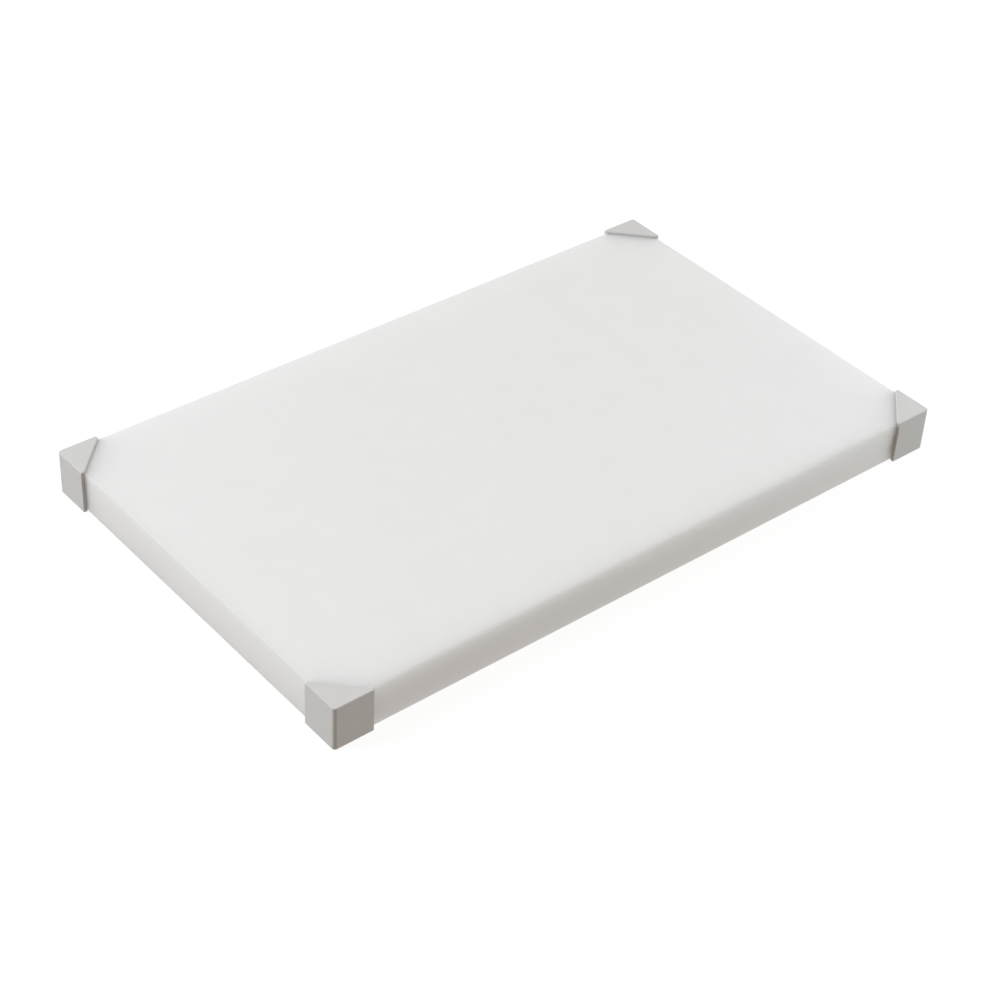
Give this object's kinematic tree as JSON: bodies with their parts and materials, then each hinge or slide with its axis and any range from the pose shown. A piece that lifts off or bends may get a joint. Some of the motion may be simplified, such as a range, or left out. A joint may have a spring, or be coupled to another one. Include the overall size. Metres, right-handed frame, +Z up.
{
  "type": "cutting board",
  "caption": "Thick rectangular white plastic slab for cutting on, with a removable soft non-slip cap round each corner that also serves as its foot.",
  "frame": {"origin": "on the surface that the board stands on, under the middle of the board", "axes": "+X along the board's long side, +Y across it, +Z up; the front is -Y and the left is -X"},
  "size_m": [0.505, 0.305, 0.0328],
  "materials": {
    "board_polyethylene": "white high-density polyethylene, satin, with a fine orange-peel texture on both faces and planed sides",
    "cap_elastomer": "light grey thermoplastic elastomer, moulded, matt and slightly grippy"
  },
  "bodies": {
    "board": {"board": "board_polyethylene"},
    "cap_front_left": {"corner_cap_front_left": "cap_elastomer"},
    "cap_front_right": {"corner_cap_front_right": "cap_elastomer"},
    "cap_back_left": {"corner_cap_back_left": "cap_elastomer"},
    "cap_back_right": {"corner_cap_back_right": "cap_elastomer"}
  },
  "joints": [
    {"name": "pull_off_front_left", "type": "slide", "parent": "board", "child": "cap_front_left", "axis": [-0.7071, -0.7071, 0], "range_m": [0, 0.03]},
    {"name": "pull_off_front_right", "type": "slide", "parent": "board", "child": "cap_front_right", "axis": [0.7071, -0.7071, 0], "range_m": [0, 0.03]},
    {"name": "pull_off_back_left", "type": "slide", "parent": "board", "child": "cap_back_left", "axis": [-0.7071, 0.7071, 0], "range_m": [0, 0.03]},
    {"name": "pull_off_back_right", "type": "slide", "parent": "board", "child": "cap_back_right", "axis": [0.7071, 0.7071, 0], "range_m": [0, 0.03]}
  ]
}
